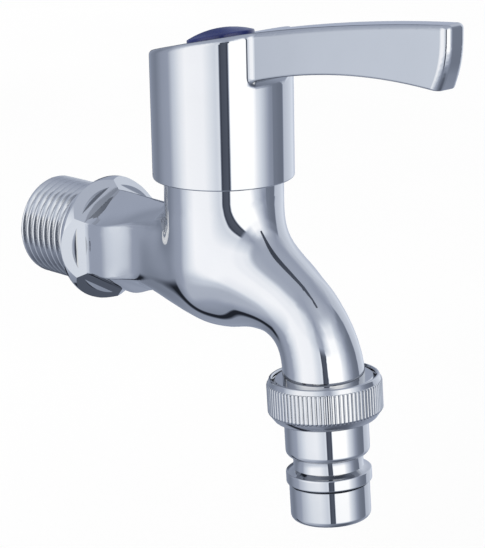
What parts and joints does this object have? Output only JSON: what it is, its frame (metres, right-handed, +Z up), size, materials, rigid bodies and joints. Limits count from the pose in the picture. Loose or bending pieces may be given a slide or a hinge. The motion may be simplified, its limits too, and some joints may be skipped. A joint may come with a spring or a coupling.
{
  "type": "bib tap",
  "caption": "Wall-mounted quarter-turn bib tap with a threaded inlet, a lever handle over the spout, and a union nut that holds a hose nozzle.",
  "frame": {"origin": "centre of the inlet thread's end face, on the inlet axis", "axes": "+X runs along the inlet towards the spout, +Z is up along the valve axis, +Y completes a right-handed set; the mating pipe leaves the inlet towards -X"},
  "size_m": [0.1138, 0.028, 0.1005],
  "materials": {
    "body_chrome": "mirror chrome on brass",
    "handle_chrome": "mirror chrome on zinc",
    "nut_chrome": "mirror chrome on brass, knurled",
    "nozzle_chrome": "mirror chrome on brass",
    "brass": "turned",
    "steel": "bright",
    "rubber": "matte",
    "nylon": "matte",
    "ceramic": "lapped",
    "blue_plastic": "gloss"
  },
  "bodies": {
    "tap_body": {"body": "body_chrome", "headwork_housing": "brass", "housing_o_ring": "rubber", "seat_seal": "rubber", "seal_support_ring": "nylon", "fixed_disc": "ceramic", "thrust_washer": "nylon"},
    "handle_set": {"handle": "handle_chrome", "handle_insert": "nylon", "handle_screw": "steel", "index_button": "blue_plastic", "spindle": "brass", "spindle_o_rings": "rubber", "retaining_clip": "steel", "moving_disc": "ceramic"},
    "union_washer": {"outlet_washer": "rubber"},
    "union_nut": {"coupling_nut": "nut_chrome"},
    "hose_tail": {"hose_nozzle": "nozzle_chrome"}
  },
  "joints": [
    {"name": "handle_turn", "type": "hinge", "parent": "tap_body", "child": "handle_set", "pos_m": [0.0538, 0, 0.022], "axis": [0, 0, 1], "range_deg": [0, 90]},
    {"name": "union_travel", "type": "slide", "parent": "tap_body", "child": "union_washer", "axis": [0.059, 0, -0.9983], "range_m": [0, 0.0048]},
    {"name": "nut_turn", "type": "hinge", "parent": "union_washer", "child": "union_nut", "pos_m": [0.08081, 0, -0.015], "axis": [0.059, 0, -0.9983], "range_deg": [0, 1728]},
    {"name": "nozzle_swivel", "type": "hinge", "parent": "union_washer", "child": "hose_tail", "pos_m": [0.08081, 0, -0.015], "axis": [0.059, 0, -0.9983], "continuous": true}
  ],
  "couplings": [
    {"joint": "nut_turn", "follows": "union_travel", "rad_per_m": 6283.2}
  ]
}
